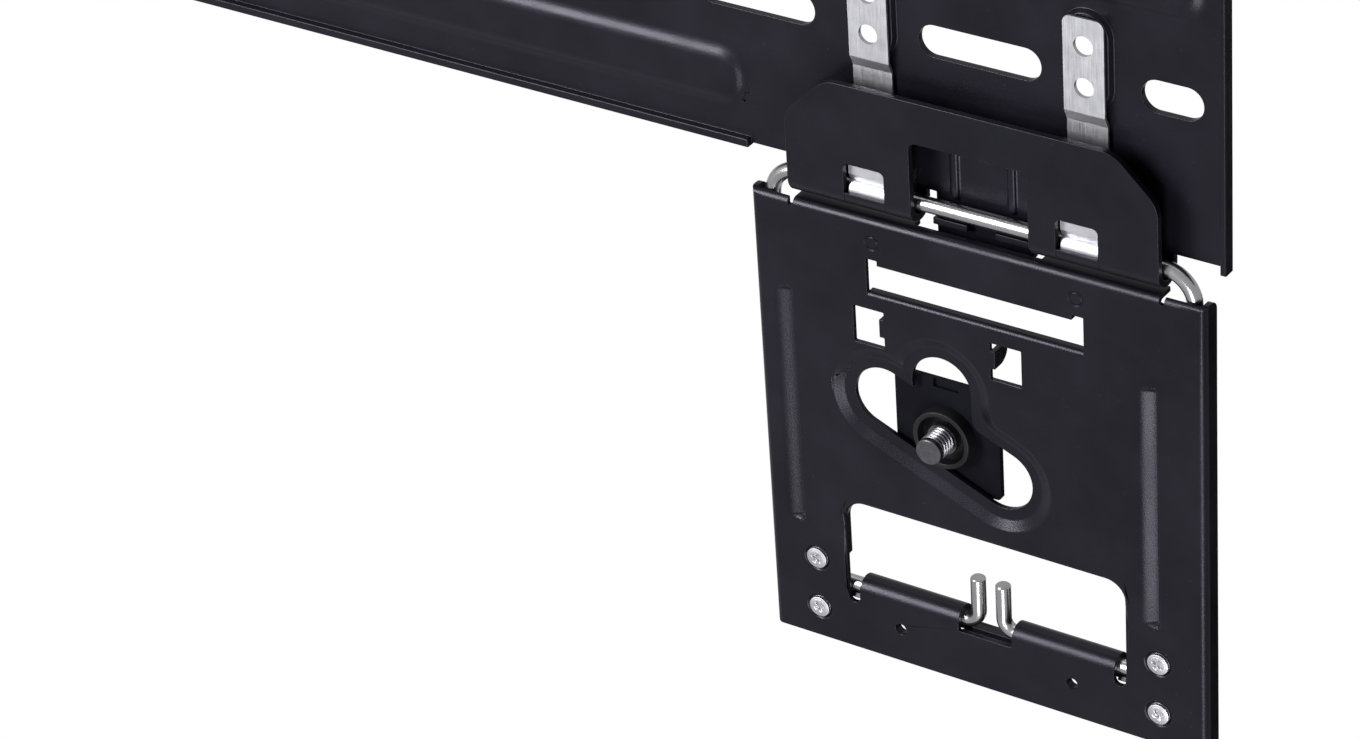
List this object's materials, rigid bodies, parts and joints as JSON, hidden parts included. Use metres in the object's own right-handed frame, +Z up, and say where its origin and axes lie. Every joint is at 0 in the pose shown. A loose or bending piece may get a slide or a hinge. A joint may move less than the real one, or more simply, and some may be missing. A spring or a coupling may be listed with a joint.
{
  "type": "slim television wall bracket",
  "caption": "Slim television wall mount: a pressed wall plate with swing-out wire frames, each carrying a hinged plate whose sliding stud screws into the television's back.",
  "frame": {"origin": "on the wall face, midway between the hanging brackets, on the centreline of the wall slots", "axes": "+Z up, front towards -Y, +X to the right seen from the front, wall behind at +Y"},
  "size_m": [0.7694, 0.016, 0.2502],
  "materials": {
    "black_coat": "satin powder coat with a fine grain",
    "bright_zinc": "bright zinc plate",
    "polished_wire": "polished drawn wire",
    "black_nylon": "matt moulded",
    "dark_steel": "dark plated, threads worn bright"
  },
  "bodies": {
    "wall": {"wall_plate": "black_coat", "right_inner_strap": "bright_zinc", "right_outer_strap": "bright_zinc", "left_inner_strap": "bright_zinc", "left_outer_strap": "bright_zinc"},
    "right_frame": {"right_wire_frame": "polished_wire"},
    "right_hanger": {"right_tv_plate": "black_coat", "right_inner_clip": "bright_zinc", "right_outer_clip": "bright_zinc", "right_inner_screws": "bright_zinc", "right_outer_screws": "bright_zinc"},
    "right_slider": {"right_slider_plate": "black_coat", "right_guide_ring": "black_nylon", "right_stud": "dark_steel"},
    "left_frame": {"left_wire_frame": "polished_wire"},
    "left_hanger": {"left_tv_plate": "black_coat", "left_inner_clip": "bright_zinc", "left_outer_clip": "bright_zinc", "left_inner_screws": "bright_zinc", "left_outer_screws": "bright_zinc"},
    "left_slider": {"left_slider_plate": "black_coat", "left_guide_ring": "black_nylon", "left_stud": "dark_steel"}
  },
  "joints": [
    {"name": "right_frame_hinge", "type": "hinge", "parent": "wall", "child": "right_frame", "pos_m": [0.312, -0.00546, -0.04755], "axis": [-1, 0, 0], "range_deg": [0, 90]},
    {"name": "right_plate_hinge", "type": "hinge", "parent": "right_frame", "child": "right_hanger", "pos_m": [0.312, -0.00546, -0.17825], "axis": [1, 0, 0], "range_deg": [0, 90]},
    {"name": "right_stud_slide", "type": "slide", "parent": "right_hanger", "child": "right_slider", "axis": [0.9225, 0, -0.3859], "range_m": [-0.02, 0.02]},
    {"name": "left_frame_hinge", "type": "hinge", "parent": "wall", "child": "left_frame", "pos_m": [-0.312, -0.00546, -0.04755], "axis": [-1, 0, 0], "range_deg": [0, 90]},
    {"name": "left_plate_hinge", "type": "hinge", "parent": "left_frame", "child": "left_hanger", "pos_m": [-0.312, -0.00546, -0.17825], "axis": [1, 0, 0], "range_deg": [0, 90]},
    {"name": "left_stud_slide", "type": "slide", "parent": "left_hanger", "child": "left_slider", "axis": [-0.9225, 0, -0.3859], "range_m": [-0.02, 0.02]}
  ]
}
